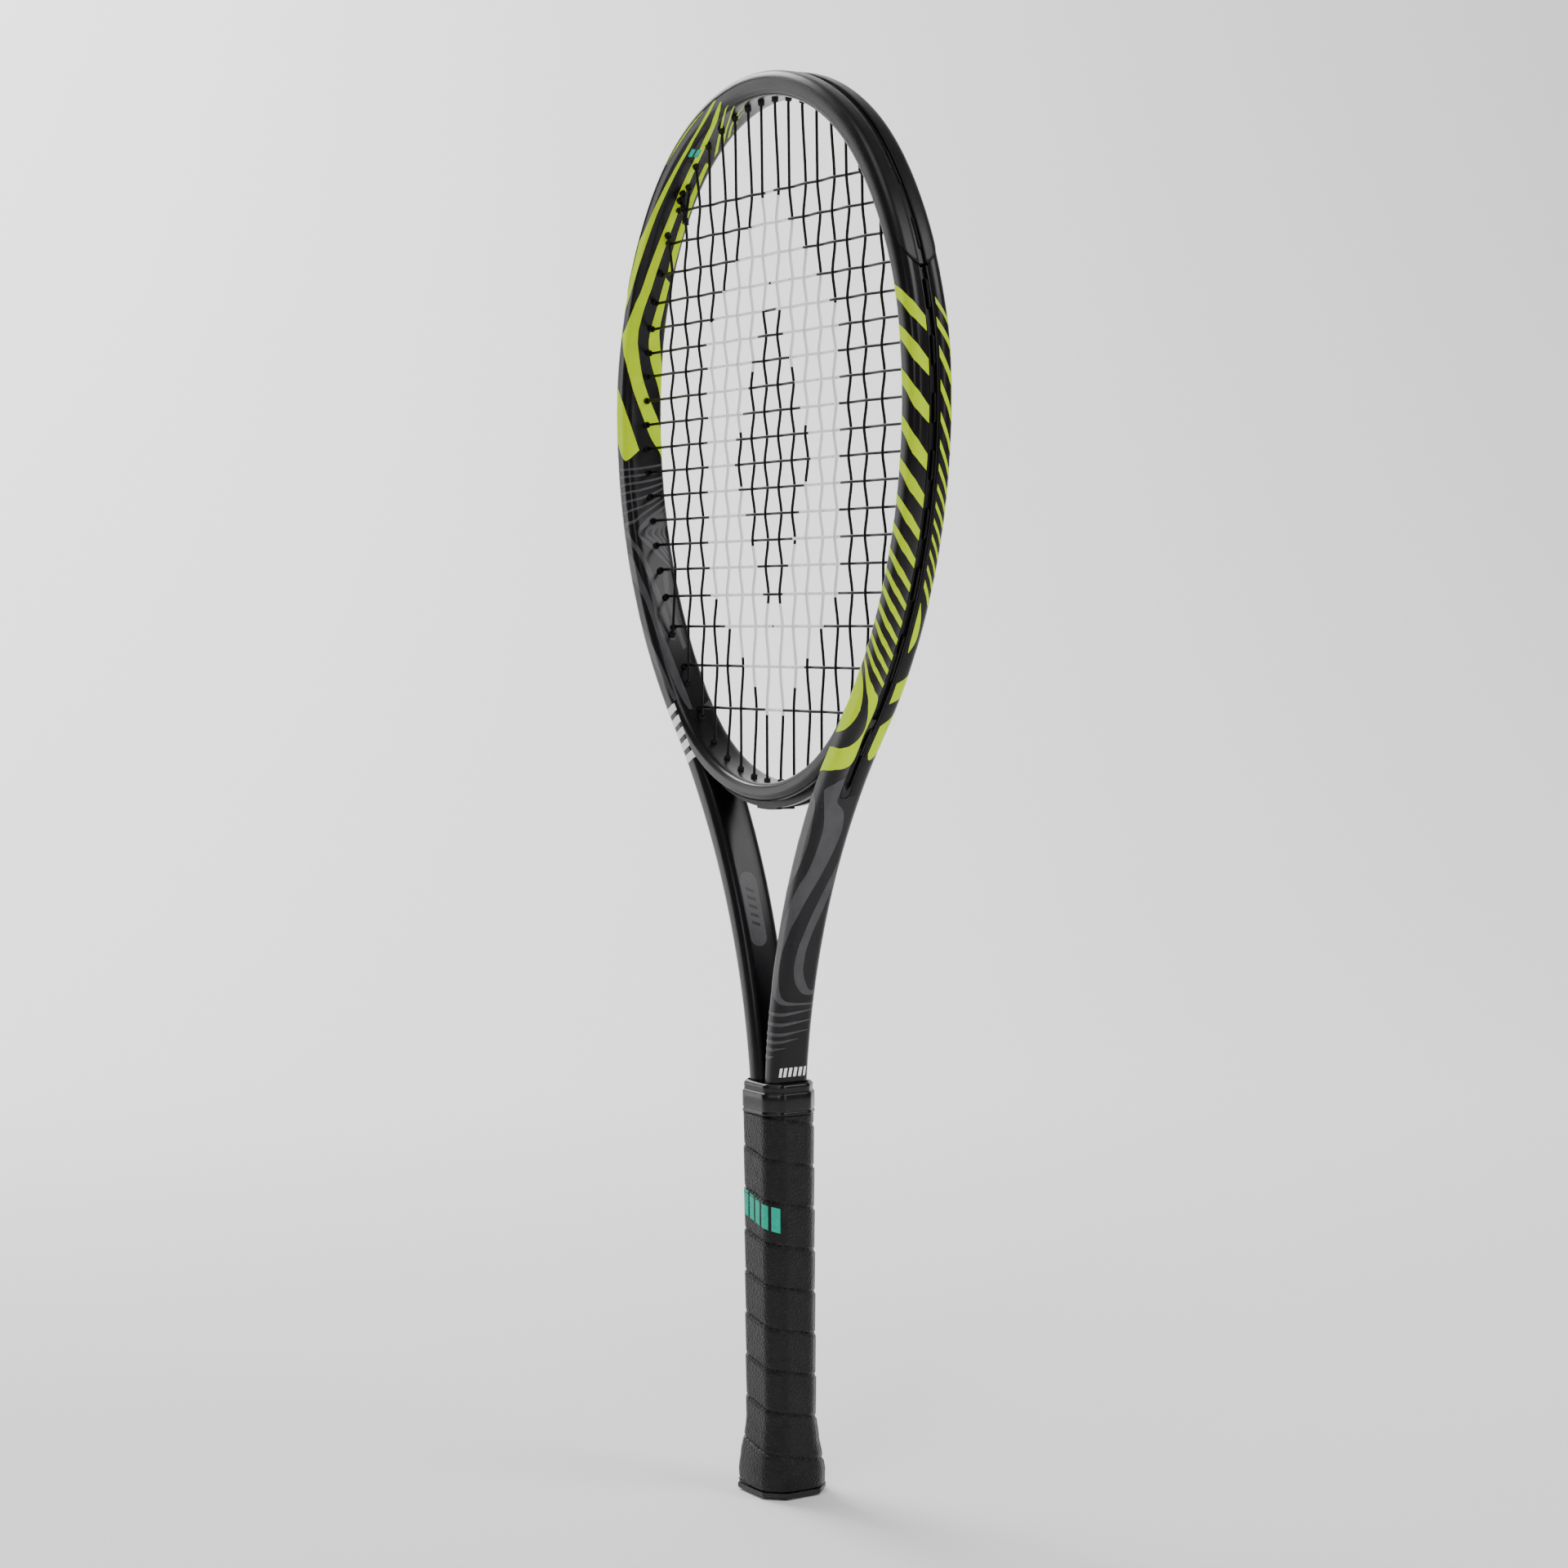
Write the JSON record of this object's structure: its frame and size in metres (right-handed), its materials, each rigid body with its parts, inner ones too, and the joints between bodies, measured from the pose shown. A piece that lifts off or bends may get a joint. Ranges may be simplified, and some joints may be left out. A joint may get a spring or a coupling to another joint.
{
  "type": "tennis racket",
  "caption": "Strung adult tennis racket: hollow oval hairpin frame with an open throat, woven string bed, head guard, wrapped grip, sliding rubber collar and flared butt cap.",
  "frame": {"origin": "centre of the flat end face of the butt cap", "axes": "+Z along the racket towards the tip of the head, +Y across the string bed (the strings lie in the plane y = 0), +X across the head in the string plane"},
  "size_m": [0.2734, 0.0374, 0.6858],
  "materials": {
    "frame_paint": "gloss lacquer over composite",
    "guard_plastic": "smooth nylon",
    "grommet_plastic": "smooth nylon",
    "string": "smooth monofilament",
    "foam": "rigid foam",
    "cap_plastic": "fine matt",
    "staple_steel": "plain wire",
    "grip": "soft perforated synthetic leather",
    "tape": "thin vinyl tape",
    "collar_rubber": "smooth moulded rubber"
  },
  "bodies": {
    "racket": {"frame_tube": "frame_paint", "throat_bridge": "frame_paint", "bumper_guard": "guard_plastic", "grommet_strip_left": "grommet_plastic", "grommet_strip_right": "grommet_plastic", "grommet_strip_throat": "grommet_plastic", "main_string": "string", "cross_string": "string", "handle_pallet_front": "foam", "handle_pallet_back": "foam", "butt_cap": "cap_plastic", "butt_cap_staples": "staple_steel", "grip_tack": "staple_steel", "grip_wrap": "grip", "finishing_tape": "tape"},
    "collar": {"rubber_collar": "collar_rubber"},
    "trap_door": {"trap_door": "cap_plastic"}
  },
  "joints": [
    {"name": "collar_slide", "type": "slide", "parent": "racket", "child": "collar", "axis": [0, 0, 1], "range_m": [0, 0.008]},
    {"name": "trap_door_slide", "type": "slide", "parent": "racket", "child": "trap_door", "axis": [0, 0, -1], "range_m": [0, 0.012]}
  ]
}
